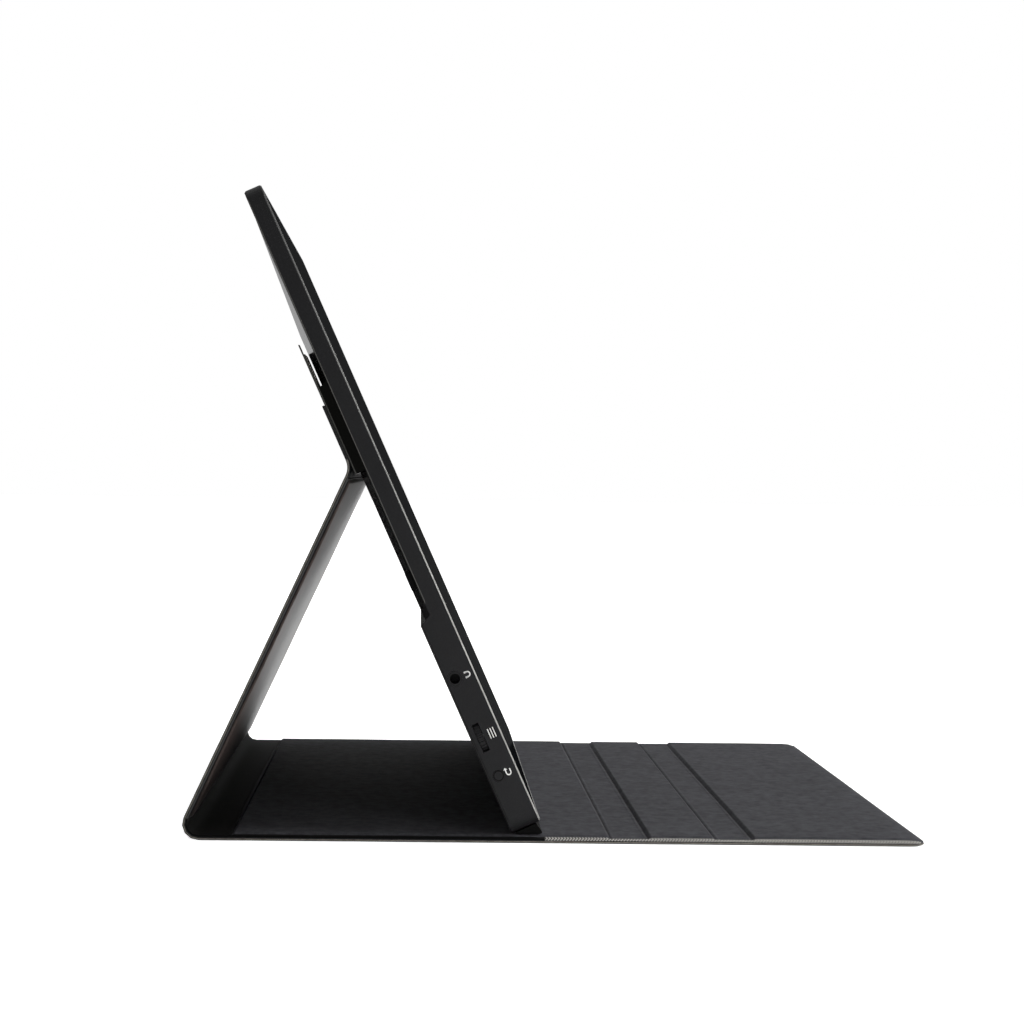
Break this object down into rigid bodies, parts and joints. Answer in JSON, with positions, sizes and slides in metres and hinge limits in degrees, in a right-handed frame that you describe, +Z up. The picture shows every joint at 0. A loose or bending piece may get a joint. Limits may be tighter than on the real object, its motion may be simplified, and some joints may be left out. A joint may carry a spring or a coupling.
{
  "type": "portable monitor with folding cover",
  "caption": "Thin portable monitor standing on its own folding cover: stepped back shell, glossy front, side controls and sockets, hinged leg and floor panels.",
  "frame": {"origin": "under the middle of the bounding box, on the surface that it stands on", "axes": "+X along the width, to the right of a viewer in front of the screen; the screen faces -Y; +Z up"},
  "size_m": [0.376, 0.2578, 0.2263],
  "materials": {
    "shell": "fine-grain matt",
    "frame": "matt",
    "front": "glossy dark",
    "cell": "dark, semi-matt",
    "sheets": "milky",
    "guide": "clear",
    "reflector": "white",
    "leds": "white strip with yellow diodes",
    "tray": "satin",
    "circuit_board": "green solder mask",
    "chips": "matt",
    "ribbon": "amber film",
    "flat_cable": "white film",
    "socket_body": "satin",
    "socket_shell": "nickel-plated",
    "switches": "matt",
    "screws": "black-plated",
    "magnets": "nickel-plated",
    "soft_rubber": "matt",
    "bracket": "satin",
    "control": "satin",
    "axle": "turned",
    "cover_skin": "fine-grain artificial leather",
    "cover_lining": "brushed microfibre",
    "cover_board": "grey board",
    "cover_band": "soft folded skin"
  },
  "bodies": {
    "base": {"base_outer_skin": "cover_skin", "base_board": "cover_board", "base_lining": "cover_lining", "spine_band": "cover_band", "fold_1_band": "cover_band"},
    "leg": {"leg_outer_skin": "cover_skin", "leg_board": "cover_board", "leg_lining": "cover_lining", "crease_band": "cover_band"},
    "monitor": {"rear_cover": "shell", "chassis_frame": "frame", "front_glass": "front", "lcd_cell": "cell", "diffuser_sheets": "sheets", "light_guide": "guide", "reflector_sheet": "reflector", "led_strip": "leds", "backlight_tray": "tray", "tcon_board": "circuit_board", "main_board": "circuit_board", "board_chips": "chips", "display_cable": "ribbon", "keypad_board": "circuit_board", "keypad_cable": "flat_cable", "headphone_jack": "socket_body", "usb_socket_upper": "socket_shell", "usb_socket_lower": "socket_shell", "hdmi_socket": "socket_shell", "wheel_switch": "switches", "back_switch": "switches", "rear_screws": "screws", "board_screws": "screws", "bracket_screws": "screws", "bezel_magnets": "magnets", "rear_pads": "soft_rubber", "foot_strip": "soft_rubber", "cover_bracket": "bracket", "flap_skin": "cover_skin"},
    "back_button": {"back_button": "control"},
    "wheel_carrier": {"wheel_carrier": "switches", "wheel_axle": "axle"},
    "menu_wheel": {"menu_wheel": "control"},
    "panel_2": {"panel_2_outer_skin": "cover_skin", "panel_2_board": "cover_board", "panel_2_lining": "cover_lining", "fold_2_band": "cover_band"},
    "panel_3": {"panel_3_outer_skin": "cover_skin", "panel_3_board": "cover_board", "panel_3_lining": "cover_lining", "panel_3_magnets": "magnets"}
  },
  "joints": [
    {"name": "spine_hinge", "type": "hinge", "parent": "base", "child": "leg", "pos_m": [0, 0.1234, 0.0055], "axis": [-1, 0, 0], "range_deg": [0, 80], "deforming": ["spine_band"]},
    {"name": "stand_crease", "type": "hinge", "parent": "leg", "child": "monitor", "pos_m": [0, 0.0729, 0.12888], "axis": [-1, 0, 0], "range_deg": [0, 128], "deforming": ["crease_band"]},
    {"name": "fold_1", "type": "hinge", "parent": "base", "child": "panel_2", "pos_m": [0, -0.0257, 0.0008], "axis": [-1, 0, 0], "range_deg": [0, 85], "deforming": ["fold_1_band"]},
    {"name": "fold_2", "type": "hinge", "parent": "panel_2", "child": "panel_3", "pos_m": [0, -0.0621, 0.0008], "axis": [-1, 0, 0], "range_deg": [0, 60], "deforming": ["fold_2_band"]},
    {"name": "back_button_press", "type": "slide", "parent": "monitor", "child": "back_button", "axis": [1, 0, 0], "range_m": [0, 0.0004], "stiffness_N_per_m": 400, "springref_m": -0.001},
    {"name": "menu_wheel_press", "type": "slide", "parent": "monitor", "child": "wheel_carrier", "axis": [1, 0, 0], "range_m": [0, 0.0004], "stiffness_N_per_m": 400, "springref_m": -0.001},
    {"name": "menu_wheel_turn", "type": "hinge", "parent": "wheel_carrier", "child": "menu_wheel", "pos_m": [-0.1799, 0.02633, 0.03625], "axis": [0, 0.9103, -0.4139], "range_deg": [-15, 15], "stiffness_Nm_per_rad": 0.003}
  ]
}
